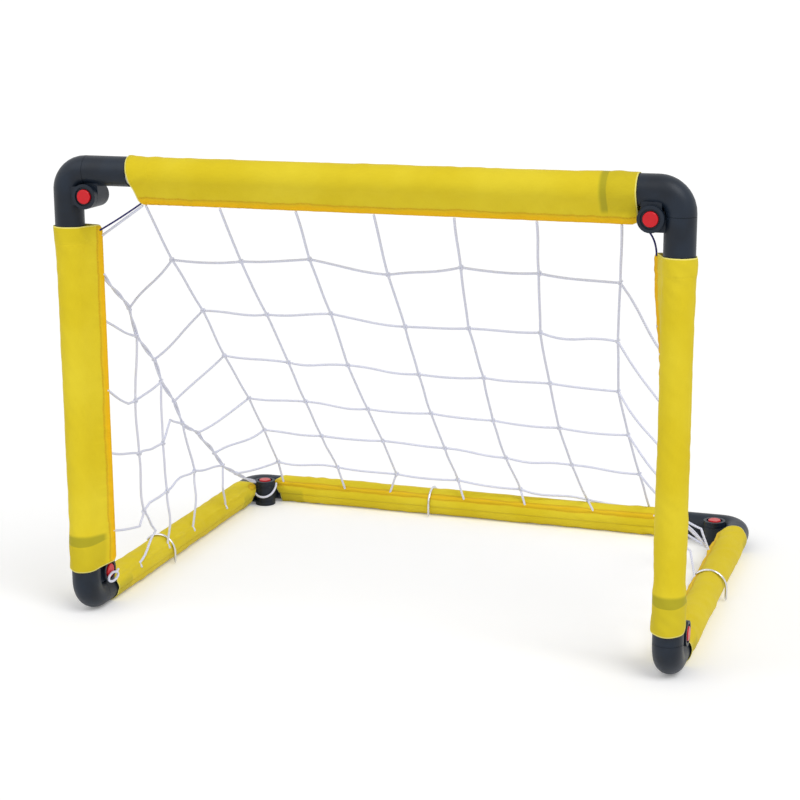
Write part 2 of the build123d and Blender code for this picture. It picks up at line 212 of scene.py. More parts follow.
def studio():
    """A wide floor, an even sky that looks white, and two soft lamps."""
    mesh = bpy.data.meshes.new("floor")
    reach = 400.0
    corners = [(-reach, -reach, 0), (reach, -reach, 0), (reach, reach, 0), (-reach, reach, 0)]
    mesh.from_pydata(corners, [], [(0, 1, 2, 3)])
    mesh.materials.append(floor_finish())
    floor = bpy.data.objects.new("floor", mesh)
    bpy.context.scene.collection.objects.link(floor)
    world = bpy.data.worlds.new("studio")
    bpy.context.scene.world = world
    world.use_nodes = True
    nodes, links = world.node_tree.nodes, world.node_tree.links
    nodes.clear()
    rays = nodes.new("ShaderNodeLightPath")
    seen = rays.outputs["Is Camera Ray"]
    for kind in ("Is Glossy Ray", "Is Transmission Ray"):
        both = nodes.new("ShaderNodeMath")
        both.operation = "MAXIMUM"
        links.new(seen, both.inputs[0])
        links.new(rays.outputs[kind], both.inputs[1])
        seen = both.outputs[0]
    light, white = nodes.new("ShaderNodeBackground"), nodes.new("ShaderNodeBackground")
    light.inputs["Strength"].default_value = sky_strength
    white.inputs["Color"].default_value = (1, 1, 1, 1)
    choice, out = nodes.new("ShaderNodeMixShader"), nodes.new("ShaderNodeOutputWorld")
    links.new(seen, choice.inputs[0])
    links.new(light.outputs[0], choice.inputs[1])
    links.new(white.outputs[0], choice.inputs[2])
    links.new(choice.outputs[0], out.inputs["Surface"])
    for name, turn, tilt, strength, spread in lamps:
        lamp = bpy.data.lights.new(name, "SUN")
        lamp.energy = strength
        lamp.angle = radians(spread)
        holder = bpy.data.objects.new(name, lamp)
        holder.rotation_euler = (radians(tilt), 0, radians(turn))
        bpy.context.scene.collection.objects.link(holder)


sky_strength = 0.62
floor_lift = 0.16
lamps = (  # name, turn about Z, tilt from overhead, strength, angular size
    ("key_lamp", 54, 40, 1.25, 35),
    ("fill_lamp", -35, 50, 0.6, 50),
)
studio()


# Finishes

def elbow_finish():
    """Navy moulded plastic with a fine grain, a little paler where it is handled."""
    paint = Paint("navy_moulding")
    place = paint.place()
    cloud = paint.noise(place, 38.0)
    grain = paint.noise(place, 2600.0, 1.0)
    tone = paint.mixed(cloud.above(0.35, 0.7), shade(17, 25, 36), shade(25, 36, 50))
    rough = cloud * 0.12 + 0.36
    return paint.finish(base_color=tone, roughness=rough, specular_ior_level=0.3,
                        normal=paint.bump(0.04 * MM, grain))


def button_finish():
    """Glossy red plastic."""
    paint = Paint("red_button")
    place = paint.place()
    cloud = paint.noise(place, 120.0)
    tone = paint.mixed(cloud, shade(196, 6, 22), shade(214, 16, 32))
    grain = paint.noise(place, 1800.0, 1.0)
    return paint.finish(base_color=tone, roughness=cloud * 0.1 + 0.25, coat_weight=0.15,
                        coat_roughness=0.15, specular_ior_level=0.3,
                        normal=paint.bump(0.015 * MM, grain))


def tube_finish():
    """Plain white tube."""
    paint = Paint("white_tube")
    cloud = paint.noise(paint.place(), 60.0)
    tone = paint.mixed(cloud, (0.80, 0.80, 0.77, 1), (0.86, 0.86, 0.83, 1))
    return paint.finish(base_color=tone, roughness=cloud * 0.1 + 0.4)


def steel_finish(name, dark, pale, rough):
    """Bright drawn steel with faint lines and clouding."""
    paint = Paint(name)
    place = paint.place()
    cloud = paint.noise(place, 180.0)
    lines = paint.noise(paint.stretched(place, (900.0, 900.0, 60.0)), 1.0, 2.0)
    tone = paint.mixed(cloud, dark, pale)
    return paint.finish(base_color=tone, metallic=1.0, roughness=lines * 0.12 + rough,
                        normal=paint.bump(0.02 * MM, lines))


def cloth_finish():
    """Yellow woven polyester. It is olive where the moulded socket shows through one layer, duller
    in the double hem, and orange along the stitched fin, the double layer's colour deepened with
    painted shade of the fold. It has lines of stitching with painted shade in their groove, and a
    painted highlight along the folded rim at each end."""
    paint = Paint("yellow_cloth")
    uv = paint.node("UVMap", {"uv_map": "cloth"})
    split = paint.node("SeparateXYZ", (), {0: uv})
    along = split
    around = Wire(paint, split.socket.node.outputs[1])
    edge = paint.attribute("edge")
    hem = paint.attribute("hem")
    corner = paint.attribute("corner")
    tint = paint.attribute("tint")
    place = paint.place()
    wander = paint.noise(paint.stretched(uv, (26.0, 0.0, 0.0)), 1.0, 2.0)
    fin = paint.attribute("fin") + (wander - 0.5) * (5 * MM)
    cloud = paint.noise(place, 14.0)
    slubs = paint.noise(paint.stretched(uv, (160.0, 2600.0, 1.0)), 1.0, 2.0)
    wefts = paint.noise(paint.stretched(uv, (2600.0, 160.0, 1.0)), 1.0, 2.0)
    yellow = paint.mixed(cloud.above(0.3, 0.75), cloth_yellow, cloth_bright)
    yellow = paint.mixed((slubs + wefts) * 0.14, yellow, cloth_shadow)
    in_hem = 1 - hem.above(-0.6 * MM, 0.6 * MM)
    over_socket = tint * (1 - corner.above(socket_reach, socket_reach + 4 * MM))
    off_fin = fin.above(fin_width + 2 * MM, fin_width + 9 * MM)
    tone = paint.mixed(over_socket * off_fin * (1 - in_hem) * 0.62, yellow, cloth_olive)
    tone = paint.mixed(in_hem * over_socket * off_fin * 0.42, tone, cloth_hem)
    # The fin's orange: partly the double layer's own colour, partly painted shade of the fold.
    on_fin = 1 - fin.above(fin_width - 4.5 * MM, fin_width + 1.5 * MM)
    tone = paint.mixed(on_fin * 0.85, tone, fin_orange_and_shade)
    stitches = (along * (tau / stitch_pitch)).wave().above(0.25, 0.5)
    lines = thread_line(fin, fin_width) * stitches
    # Painted shade in the groove along the stitching; the groove is also dented in the bump below.
    groove = dent(fin, fin_width, 1.8 * MM)
    tone = paint.mixed(groove * 0.4, tone, groove_shade)
    tone = paint.mixed(lines * 0.3, tone, thread_yellow)
    # A painted highlight along the folded rim at each end of the sleeve.
    rim_highlight = 1 - edge.above(0.7 * MM, 1.4 * MM)
    tone = paint.mixed(rim_highlight * 0.8, tone, rim_highlight_colour)
    warp = (along * (tau / weave_pitch)).wave()
    weft = (around * (tau / weave_pitch)).wave()
    weave = paint.bump(0.05 * MM, warp * weft + slubs * 0.6 + wefts * 0.6)
    creases = paint.noise(paint.stretched(place, (60.0, 60.0, 60.0)), 1.0, 4.0)
    soft = paint.bump(0.5 * MM, creases, weave)
    hemmed = dent(hem, 0.0, 1.2 * MM)
    sewn = paint.bump(0.3 * MM, lines - groove - hemmed * 0.5, soft)
    return paint.finish(base_color=tone, roughness=slubs * 0.1 + 0.68, sheen_weight=0.06,
                        sheen_roughness=0.4, specular_ior_level=0.15, normal=sewn)


def thread_line(distance, place):
    """1 within the width of a line of thread at that distance, and 0 away from it."""
    return (distance - place).math("ABSOLUTE").above(0.75 * MM, 0.35 * MM)


def dent(distance, place, reach):
    """1 at that distance, falling smoothly to 0 at reach either side."""
    return (distance - place).math("ABSOLUTE").above(reach, 0)


def cord_finish(name, dark, pale, ply, turns):
    """Twisted cord: strands wind round it, with shade in the grooves between them."""
    paint = Paint(name)
    uv = paint.node("UVMap", {"uv_map": "cord"})
    split = paint.node("SeparateXYZ", (), {0: uv})
    along = split
    around = Wire(paint, split.socket.node.outputs[1])
    strands = (along * (tau / ply) + around * (tau * turns)).wave()
    back = (along * (tau / ply) - around * (tau * turns)).wave()
    braid = strands.math("MAXIMUM", back)
    fuzz = paint.noise(paint.place(), 900.0, 2.0)
    tone = paint.mixed(braid.above(0.25, 0.8) * 0.8 + fuzz * 0.2, dark, pale)
    return paint.finish(base_color=tone, roughness=0.75 - fuzz * 0.1, sheen_weight=0.15,
                        specular_ior_level=0.3, normal=paint.bump(0.1 * MM, braid + fuzz * 0.5))


cloth_yellow = shade(226, 202, 34)
cloth_bright = shade(236, 215, 52)
cloth_shadow = shade(196, 172, 28)
cloth_olive = shade(140, 140, 36)
cloth_hem = shade(186, 170, 30)
# The fin's orange, partly painted shade of the fold.
fin_orange_and_shade = shade(240, 184, 18)
# Painted shade in the stitching's groove.
groove_shade = shade(216, 148, 10)
# Painted highlight along the sleeve ends' folded rims.
rim_highlight_colour = shade(250, 240, 140)
thread_yellow = shade(206, 168, 22)
fin_width = 7.0 * MM
socket_reach = 68.0 * MM
stitch_pitch = 3.0 * MM
weave_pitch = 0.8 * MM

finishes = {
    "elbow_plastic": elbow_finish(),
    "button_plastic": button_finish(),
    "tube_plastic": tube_finish(),
    "sleeve_cloth": cloth_finish(),
    "net_cord": cord_finish("net_cord", shade(200, 204, 226), shade(232, 234, 248), 2.4 * MM, 2),
    "lace_cord": cord_finish("navy_lace", shade(16, 12, 84), shade(38, 32, 120), 1.6 * MM, 2),
    "peg_steel": steel_finish("bright_wire", (0.52, 0.52, 0.55, 1), (0.8, 0.8, 0.82, 1), 0.14),
    "pin_steel": steel_finish("pin_steel", (0.4, 0.4, 0.42, 1), (0.6, 0.6, 0.62, 1), 0.3),
    "spring_steel": steel_finish("spring_steel", (0.4, 0.4, 0.42, 1), (0.62, 0.62, 0.6, 1), 0.25),
}
slots = {row["node"]: row["material_slot"] for row in frame["record"]["subparts"]}
for name, node in frame["nodes"].items():
    node.data.materials.clear()
    node.data.materials.append(finishes[slots[name]])
body_of = {}
for body, members in frame["record"]["behaviour"]["bodies"].items():
    for member in members:
        body_of[member] = body


def dress(piece, node, *more):
    """The piece stands for these nodes, which it hides, and takes their finish."""
    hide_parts(node, *more)
    if not piece.data.materials:
        piece.data.materials.append(finishes[slots[node]])
    return piece


# Rigid pieces: the solids with rounded edges

def moulded(node, edge):
    """The solid itself, its flats made whole again and its edges rounded by that radius."""
    mesh = frame["nodes"][node].data.copy()
    solid = bmesh.new()
    solid.from_mesh(mesh)
    bmesh.ops.remove_doubles(solid, verts=solid.verts, dist=0.002 * MM)
    bmesh.ops.dissolve_limit(
        solid, angle_limit=radians(0.5), verts=solid.verts[:], edges=solid.edges[:]
    )
    solid.to_mesh(mesh)
    solid.free()
    mesh.shade_smooth()
    mesh.set_sharp_from_angle(angle=radians(32))
    piece = bpy.data.objects.new(node + "_moulded", mesh)
    bpy.context.scene.collection.objects.link(piece)
    rounding = piece.modifiers.new("rounded_edges", "BEVEL")
    rounding.width = edge
    rounding.segments = 3
    rounding.limit_method = "ANGLE"
    rounding.angle_limit = radians(32)
    rounding.use_clamp_overlap = True
    even = piece.modifiers.new("even_shading", "WEIGHTED_NORMAL")
    even.keep_sharp = True
    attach(piece, body_of[node])
    return dress(piece, node)


for node, slot in slots.items():
    if slot == "elbow_plastic":
        moulded(node, 0.45 * MM)
    elif slot == "button_plastic":
        moulded(node, 0.5 * MM)
    elif slot == "pin_steel":
        moulded(node, 0.3 * MM)


# Surfaces

class Surface:
    """Grids of points gathered into one mesh, with a UV map in metres and named values."""

    def __init__(self, map_name):
        self.map_name = map_name
        self.points, self.faces, self.maps, self.values = [], [], [], []
        self.count = 0

    def grid(self, points, u, v, loop=False, **values):
        """Adds a grid of points with rows and columns, joined up across the columns if loop.
        u and v are each point's place on the map."""
        rows, columns = points.shape[:2]
        index = np.arange(rows * columns).reshape(rows, columns) + self.count
        after = np.roll(index, -1, 1) if loop else index[:, 1:]
        here = index if loop else index[:, :-1]
        faces = np.stack((here[:-1], after[:-1], after[1:], here[1:]), -1).reshape(-1, 4)
        self.faces.append(faces)
        self.points.append(points.reshape(-1, 3))
        step = np.stack((np.broadcast_to(u, (rows, columns)), np.broadcast_to(v, (rows, columns))), -1)
        corners = step.reshape(-1, 2)[faces.reshape(-1) - self.count].reshape(-1, 4, 2)
        if loop:
            corners[..., 1] += (corners[..., 1] < corners[..., 1].max(1, keepdims=True) - 0.5)
        self.maps.append(corners.reshape(-1, 2))
        self.values.append({name: np.broadcast_to(value, (rows, columns)).ravel()
                            for name, value in values.items()})
        self.count += rows * columns

    def piece(self, name):
        """The finished object, with smooth shading."""
        points, faces = np.concatenate(self.points), np.concatenate(self.faces)
        mesh = bpy.data.meshes.new(name)
        mesh.from_pydata(points, [], faces)
        layer = mesh.uv_layers.new(name=self.map_name)
        layer.data.foreach_set("uv", np.concatenate(self.maps).astype(np.float32).ravel())
        for key in self.values[0]:
            value = np.concatenate([row[key] for row in self.values])
            attribute = mesh.attributes.new(key, "FLOAT", "POINT")
            attribute.data.foreach_set("value", value.astype(np.float32))
        mesh.shade_smooth()
        made = bpy.data.objects.new(name, mesh)
        bpy.context.scene.collection.objects.link(made)
        return made


def ripples(u, v, reach_u, reach_v, seed, waves=24):
    """Smooth random waves of about unit height: the sum of cosines in random directions, whose
    wavelengths are about reach_u along u and reach_v along v."""
    random = np.random.default_rng(seed)
    total = 0
    for turn_u, turn_v, phase in zip(
        random.normal(size=waves), random.normal(size=waves), random.uniform(0, tau, waves)
    ):
        total = total + np.cos(tau * (turn_u * u / reach_u + turn_v * v / reach_v) + phase)
    return total * (2 / waves) ** 0.5


def smooth(value, low, high):
    """0 below low, 1 above high, and smooth between."""
    share = np.clip((value - low) / (high - low), 0, 1)
    return share * share * (3 - 2 * share)


# Cloth sleeves

cloth = 0.7 * MM
tube_skin = 15.15 * MM  # tube axis to the middle of the cloth
hem_meet = 27.0 * MM  # tube axis to where a hanging sleeve's two sides meet
fin_reach = 31.0 * MM  # tube axis to the stitched edge
layer_gap = 0.42 * MM  # from the fin's middle to the middle of one of its layers
grid_step = 1.9 * MM


def hung_outline(count):
    """Section of a hanging sleeve, from one raw edge of the fin round the tube to the other: the
    two straight sides touch the circle where its tangents meet at hem_meet. Gives each point's
    reach along the fin, its place across it, and its distance from the fin's edge."""
    turn = asin((tube_skin - layer_gap) / hem_meet)
    side = hem_meet * cos(turn)
    flat, arc = fin_reach - hem_meet, tube_skin * (pi + 2 * turn)
    total = 2 * (flat + side) + arc
    s = np.linspace(0, total, count)
    run = np.minimum(s, total - s)
    angle = pi / 2 - turn + (run - flat - side) / tube_skin
    slope = np.clip((run - flat) / side, 0, 1)
    touch = (tube_skin * sin(turn), tube_skin * cos(turn))
    on_arc = run > flat + side
    reach = np.where(on_arc, tube_skin * np.cos(angle), hem_meet + (touch[0] - hem_meet) * slope)
    across = np.where(on_arc, tube_skin * np.sin(angle), layer_gap + (touch[1] - layer_gap) * slope)
    reach = np.where(run < flat, fin_reach - run, reach)
    return reach, np.where(s * 2 < total, across, -across), run, s, total


def sleeve_fin(side, share):
    """The way a post's fin points, share of the way up its sleeve: inwards and to the rear. The
    right one hangs turned further to the rear below its top."""
    more = right_turn + fin_twist * (1 - smooth(share, 0.6, 1.0)) if side < 0 else 0 * share
    turn = fin_turn + more
    return side * np.cos(turn)[..., None] * X + np.sin(turn)[..., None] * Y


def settle(points, loose, s, along, seed, fin):
    """Moves the cloth out along its section's normal: long soft swells, finer slanting creases
    that fade away from the ends, and puckers along the stitched fin."""
    normal = np.cross(np.gradient(points, axis=1), np.gradient(points, axis=0))
    normal /= np.linalg.norm(normal, axis=2, keepdims=True) + 1e-12
    swell = 0.5 + 0.5 * ripples(along, s, 130 * MM, 60 * MM, seed, 14)
    crease = ripples(along + 0.6 * s, s, 26 * MM, 34 * MM, seed + 1, 20)
    pucker = ripples(along, s, 15 * MM, 60 * MM, seed + 2, 20)
    near_fin = 1 - smooth(fin, 2 * MM, 26 * MM)
    rise = np.maximum(loose * (0.9 * swell + 0.35 * crease), 0) + 0.35 * MM * pucker * near_fin
    return points + normal * rise[..., None]


def hung_sleeve(node, start, direction, fin_at, near, low_end, high_end, skew, hems, seed):
    """A hanging sleeve round a bar that starts at that corner. fin_at gives the way of its fin at
    each share of the length. The low end is cut askew, the fin's corners are rounded, and past the
    sockets the cloth falls in round the thinner tube."""
    length = high_end - low_end
    rows, columns = int(length / grid_step), 76
    reach, across, run, s, total = hung_outline(columns)
    share = np.linspace(0, 1, rows)[:, None]
    fin = fin_at(share[:, 0])[:, None]
    side = np.cross(direction, fin)
    section = reach[:, None] * fin + across[:, None] * side
    first = low_end + (15.5 * MM - section @ near) * skew
    rounding = corner_round * (1 - np.sqrt(1 - np.clip(1 - run / corner_round, 0, 1) ** 2))
    first, last = first + rounding, high_end - rounding
    along = first + (last - first) * share
    hollow = fall_in * smooth(np.minimum(along, hems[2] - along), socket_reach, socket_reach + 14 * MM)
    section = section * (1 - hollow / tube_skin * smooth(run, 6 * MM, 22 * MM))[..., None]
    points = start + along[..., None] * direction + section
    edge = np.minimum(along - first, last - along)
    hem = np.where(along - first < last - along, along - first - hems[0], last - along - hems[1])
    corner = np.minimum(along, hems[2] - along)
    tint = 1 - (1 - hems[3]) * smooth(share, 0.4, 0.6) + 0 * along
    grown = smooth(-hem, -0.6 * MM, 0.6 * MM) * 0.2 * MM
    loose = 0.5 * MM + 0.5 * MM * (1 - smooth(edge, 0, 60 * MM)) + grown
    points = settle(points, loose, s + 0 * along, along, seed, run + 0 * along)
    surface = Surface("cloth")
    surface.grid(points, along, s, edge=edge, hem=hem, corner=corner, tint=tint, fin=run)
    piece = surface.piece(node + "_cloth")
    return sewn(piece, node, (total, length))


def sewn(piece, node, flat):
    """Gives the cloth its thickness. flat, its flat size, is not used."""
    wall = piece.modifiers.new("cloth_wall", "SOLIDIFY")
    wall.thickness = cloth
    wall.offset = 0
    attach(piece, body_of[node])
    dress(piece, node)
    return piece


corner_round = 5.0 * MM
fall_in = 0.9 * MM
fin_turn = radians(30)
right_turn = radians(6)
fin_twist = radians(20)
post_foot = 32 * MM
post_skew = 6.5 / 31
left_top, right_top = 54.5 * MM, 57.5 * MM


def post_fin(side):
    """The rule for the way of a post sleeve's fin."""
    return lambda share: sleeve_fin(side, share)


hung_sleeve("crossbar_sleeve", corner_at(left, front, top), X, lambda share: share[:, None] * 0 - Z,
            Z, 67 * MM, width - 37 * MM, 9.0 / 46.5, (22 * MM, 26.5 * MM, width, 1.0), 11)
hung_sleeve("left_post_sleeve", corner_at(left, front, low_bar), Z, post_fin(1), -Y, post_foot,
            height - left_top, post_skew, (27 * MM, 17 * MM, height, 0.45), 23)
hung_sleeve("right_post_sleeve", corner_at(right, front, low_bar), Z, post_fin(-1), -Y, post_foot,
            height - right_top, post_skew, (27 * MM, 17 * MM, height, 0.15), 31)


def snug_sleeve(node, start, direction, inwards, length, flaps, seed, pale=(1, 2), short=0):
    """A sleeve pulled close round a base bar. Its stitched band lies on the inner side under a
    small wavy ridge, whose corners reach past the ends by those flaps, and the floor flattens its
    foot. The section is a circle about the bar, cut at the band's lower edge. The ridge's orange
    fades away between the distances pale from the far end, which is cut short by that much."""
    rows, columns = int((length - 2 * base_end) / grid_step), 96
    turn = np.linspace(0, tau, columns)
    angle = ridge_turn - band_width / tube_skin + turn
    s = turn * tube_skin
    total = tau * tube_skin
    in_band = smooth(s, 0, 0.6 * MM) - smooth(s, band_width - 0.8 * MM, band_width + 0.8 * MM)
    corner_flap = np.exp(-((s - band_width) / (8 * MM)) ** 2)
    first = base_end - flaps[0] * corner_flap
    last = length - base_end - short + flaps[1] * corner_flap
    along = first + (last - first) * np.linspace(0, 1, rows)[:, None]
    edge = np.minimum(along - first, last - along)
    ridge = np.exp(-((s - band_width) / (1.9 * MM)) ** 2)
    tall = 1.7 * MM * (1 + 0.35 * ripples(along, 0 * s, 60 * MM, 1, seed + 3, 10))
    radius = tube_skin + 0.8 * MM * in_band + ridge * np.maximum(tall, 0.5 * MM)
    section = np.cos(angle)[:, None] * inwards + np.sin(angle)[:, None] * Z
    loose = 0.6 * MM + 0.6 * MM * (1 - smooth(edge, 0, 70 * MM))
    swell = 0.5 + 0.5 * ripples(along, s, 110 * MM, 50 * MM, seed, 14)
    crease = ripples(along + 0.5 * s, s, 24 * MM, 40 * MM, seed + 1, 20)
    closed = np.minimum(smooth(s, 0, 6 * MM), smooth(total - s, 0, 6 * MM))
    rise = radius + closed * loose * np.maximum(0.9 * swell + 0.35 * crease, 0)
    points = start + along[..., None] * direction + section * rise[..., None]
    points[..., 2] = np.maximum(points[..., 2], cloth / 2 + 0.02 * MM)
    corner = np.minimum(along, length - along)
    tint = 0.5 * (1 - smooth(np.sin(angle), 0.1, 0.5)) + 0 * along
    surface = Surface("cloth")
    # Distance from the ridge, which gives it its orange: partly the band's own colour, partly painted
    # shade.
    fin = np.abs(s - band_width) + fin_width - 2.5 * MM
    fin = fin + 9 * MM * smooth(last - along, *pale)
    surface.grid(points, along, s, edge=edge, hem=edge + cloth, corner=corner, tint=tint,
                 fin=fin + 0 * along)
    piece = surface.piece(node + "_cloth")
    return sewn(piece, node, (total, length - 2 * base_end - short))


base_end = 40 * MM
band_width = 12 * MM
ridge_turn = radians(36)  # how far the ridge lies above the bar's inner side
snug_sleeve("left_side_sleeve", corner_at(left, front, low_bar), Y, X, depth,
            (3 * MM, 11 * MM), 41, (12 * MM, 34 * MM))
snug_sleeve("right_side_sleeve", corner_at(right, rear, low_bar), -Y, -X, depth,
            (-12 * MM, 3 * MM), 43)
snug_sleeve("rear_sleeve", corner_at(left, rear, low_bar), X, -Y, width, (9 * MM, 3 * MM), 47,
            short=20 * MM)


# Cords and wires

def rings(path, radius, sides, caps=3):
    """Points of a round bar carried along a path, with rounded ends: circles in the planes square
    to the path, their first direction square to one fixed line so that they don't twist."""
    path = np.asarray(path, float)
    tangent = np.gradient(path, axis=0)
    tangent /= np.linalg.norm(tangent, axis=1, keepdims=True)
    fixed = np.eye(3)[np.argmin(np.abs(tangent).max(0))]
    first = np.cross(tangent, fixed)
    first /= np.linalg.norm(first, axis=1, keepdims=True)
    second = np.cross(tangent, first)
    dome = np.linspace(pi / 2, 0, caps + 1)[:-1]
    centres = np.concatenate((
        path[:1] - tangent[:1] * (radius * np.sin(dome))[:, None],
        path,
        path[-1:] + tangent[-1:] * (radius * np.sin(dome))[::-1, None],
    ))
    size = radius * np.concatenate((np.cos(dome), np.ones(len(path)), np.cos(dome)[::-1]))
    wide = np.concatenate((np.repeat(first[:1], caps, 0), first, np.repeat(first[-1:], caps, 0)))
    tall = np.concatenate((np.repeat(second[:1], caps, 0), second, np.repeat(second[-1:], caps, 0)))
    turn = np.linspace(0, tau, sides, endpoint=False)[None, :, None]
    around = np.cos(turn) * wide[:, None] + np.sin(turn) * tall[:, None]
    points = centres[:, None] + around * size[:, None, None]
    steps = np.linalg.norm(np.diff(centres, axis=0), axis=1)
    return points, centres, np.concatenate(((0,), np.cumsum(steps)))


def add_bar(surface, path, radius, sides, **values):
    """Adds a round bar to a surface, mapped along its length and once round it."""
    points, centres, length = rings(path, radius, sides)
    v = np.linspace(0, 1, sides, endpoint=False)
    given = {name: rule(centres)[:, None] for name, rule in values.items()}
    surface.grid(points, length[:, None], v, loop=True, **given)


# Net

cord = 1.3 * MM
net_top = np.array((0, front, top - fin_reach - 1.6 * MM))
foot_reach = 17.1 * MM  # rear bar's axis to where the panel would end behind it
net_foot = np.array((0, rear + foot_reach * cos(pi / 4), low_bar + foot_reach * sin(pi / 4)))
columns, back_rows = 7, 6
first_column, column_pitch, sag = 83 * MM, 77.5 * MM, 12 * MM
panel_length = 0.6  # crossbar to rear bar down the slope, rounded
side_inset = 18 * MM  # left post's axis to the left net
right_seam_reach = 300  # the right seam has only the knots less deep than this, in mm
left_seam_top, right_seam_top = 351, 330  # heights at which the seams are tied to the fins, in mm
rope_pitch = 70 * MM  # length of one turn of a seam rope's two strands
feet = (45, 125, 183, 276, 351, 433, 505)  # where the columns are tied along the rear sleeve
uneven = (-7, -8, -13, 12, -6, -4, 4)  # how much lower each column's upper knots lie

# A side's net as it hangs, each knot as its depth behind the posts and its height, in mm
row_knots = ((84, 304), (137, 239), (182, 183), (240, 133), (283, 98), (342, 58))
seam_route = ((84, 304), (98, 272), (137, 239), (152, 212), (182, 183), (201, 153), (240, 133),
              (283, 98), (306, 77), (342, 58))
hanging = (
    ((98, 272), (89, 205), (93, 147), (99, 82), (125, 52), (92, 25)),
    ((152, 212), (150, 144), (156, 88), (161, 50), (161, 25)),
    ((201, 153), (228, 92), (228, 52), (227, 25)),
    ((306, 77), (303, 52), (318, 25)),
)
crossing_rows = (  # the height of the tie on the post's fin, then knots
    (304, (98, 272)),
    (233, (74, 205), (89, 205), (152, 212)),
    (168, (93, 147), (131, 144), (150, 144), (170, 165), (201, 153)),
    (86, (88, 68), (99, 82), (114, 87), (156, 88), (189, 94), (228, 92), (306, 77)),
)


def back_knot(column, row):
    """A knot of the back panel. The panel sags. Its rows fall away to the right. Its columns lean
    to the left, and those on the right lean more near the top and less below."""
    share = row * (0.1525 + 0.0016 * column + 0.0003 * column ** 2) - 0.0066 * column
    share = max(share, 0) + uneven[column] * MM / panel_length * max(1 - abs(row - 1) * 0.3, 0)
    across = left + first_column + column_pitch * column
    across -= ((15 + 18.5 * column) * share + (28 - 17 * column) * share ** 2) * MM
    point = net_top + (net_foot - net_top) * share
    return point + np.array((across, 0, -sag * 4 * share * (1 - share)))


def ridge_tie(column):
    """Where a column is tied to the rear sleeve's ridge."""
    reach = tube_skin + 2.6 * MM
    out, up = reach * cos(ridge_turn), reach * sin(ridge_turn)
    return corner_at(left + feet[column] * MM, rear - out, low_bar + up)


def side_point(side, depth_mm, height_mm):
    """A point of a side's net. The left net hangs in one plane inside its post. The right one hangs
    lower, and is drawn further in towards the rear above its sleeve."""
    if side > 0:
        return np.array((left + side_inset, front + depth_mm * MM, height_mm * MM))
    high = min(max((height_mm - 45) / 40, 0), 1)
    off = 16 + (0.172 * depth_mm - 8) * high
    sink = 20 * high
    return np.array((right - off * MM, front + 1.06 * depth_mm * MM, (height_mm - sink) * MM))


def post_tie(side, height_mm):
    """Where a strand is tied to the post's fin, at that height."""
    post, end = (left, left_top) if side > 0 else (right, right_top)
    share = (height_mm * MM - low_bar - post_foot) / (height - end - post_foot)
    fin = sleeve_fin(side, np.array(share))
    return corner_at(post, front, height_mm * MM) + fin * (fin_reach - 1 * MM)


def hang(knots, slack, random, steps=9):
    """A strand through its knots: each run bows down by its share of slack and to a side chosen
    at random, as a parabola between its two ends."""
    runs = []
    for start, end in zip(knots, knots[1:]):
        t = np.linspace(0, 1, steps, endpoint=False)[:, None]
        length = np.linalg.norm(end - start)
        bow = random.normal(size=3) * slack * 0.45 - Z * slack
        curl = random.normal(size=3) * slack * 0.5
        curve = 4 * t * (1 - t) * bow + np.sin(tau * t) * curl
        runs.append(start + (end - start) * t + curve * min(1, length / 0.06))
    return np.concatenate((*runs, knots[-1:] if isinstance(knots, np.ndarray) else [knots[-1]]))


hinge_y = front + 24 * MM
hinge_z = low_bar + 24 * MM


def fold_share(points):
    """A point's share of the fold, stored with the cord: its angle about the fold's axis, from the
    base bars' at 0 to the posts' at 1."""
    reach_y, reach_z = points[:, 1] - hinge_y, points[:, 2] - hinge_z
    lift = np.degrees(np.arctan2(reach_z, reach_y))
    span = np.degrees(np.arctan2(24 * MM, np.hypot(reach_y, reach_z)))
    return np.clip((lift + span) / (90 + 2 * span), 0, 1)


def add_knot(surface, place, along, across):
    """A knot: one cord wound round the crossing in a closed figure of eight."""
    turn = np.linspace(0, tau, 30)
    up = np.cross(along, across)
    up /= np.linalg.norm(up) + 1e-9
    path = (
        place
        + np.cos(turn)[:, None] * along * 2.0 * MM
        + np.sin(2 * turn)[:, None] * across * 1.5 * MM
        + np.sin(turn)[:, None] * up * 1.5 * MM
    )
    add_bar(surface, path, 1.15 * MM, 6, fold=lambda centres: fold_share(0 * centres + place))


def unit(vector):
    return vector / np.linalg.norm(vector)


def back_panel():
    """Columns from the crossbar to the rear bar, rows across them out to the side seams."""
    random = np.random.default_rng(5)
    surface = Surface("cord")
    knots = np.array([
        [back_knot(column, row) for row in range(back_rows + 2)] for column in range(columns)
    ])
    knots[:, 1:-1] += random.normal(size=knots[:, 1:-1].shape) * 1.6 * MM
    knots[:, 0] = [
        net_top + X * (left + first_column + column_pitch * column) for column in range(columns)
    ]
    knots[:, -1] = [ridge_tie(column) for column in range(columns)]
    for column in range(columns):
        add_bar(surface, hang(knots[column], 0.5 * MM, random), cord, 10, fold=fold_share)
    for row in range(1, back_rows + 1):
        first, last = (side_point(side, *row_knots[row - 1]) for side in (1, -1))
        last = seam_end(-1) if row == back_rows else last
        inner = hang(knots[:, row], 1.4 * MM, random)
        outer = hang(np.array((first, knots[0, row])), 1.5 * MM, random, 16)[:-1]
        far = hang(np.array((knots[-1, row], last)), 2.5 * MM, random, 16)[1:]
        add_bar(surface, np.concatenate((outer, inner, far)), cord, 10, fold=fold_share)
        for column in range(columns):
            down = unit(knots[column, row + 1] - knots[column, row])
            add_knot(surface, knots[column, row], down, X)
    return surface


def seam_end(side):
    """Where a seam rope is tied: at the side sleeve's rear corner, or short of it on the right."""
    if side > 0:
        return corner_at(left + 16 * MM, front + 403 * MM, 31 * MM)
    return corner_at(right - 17.5 * MM, front + 325 * MM, 27 * MM)


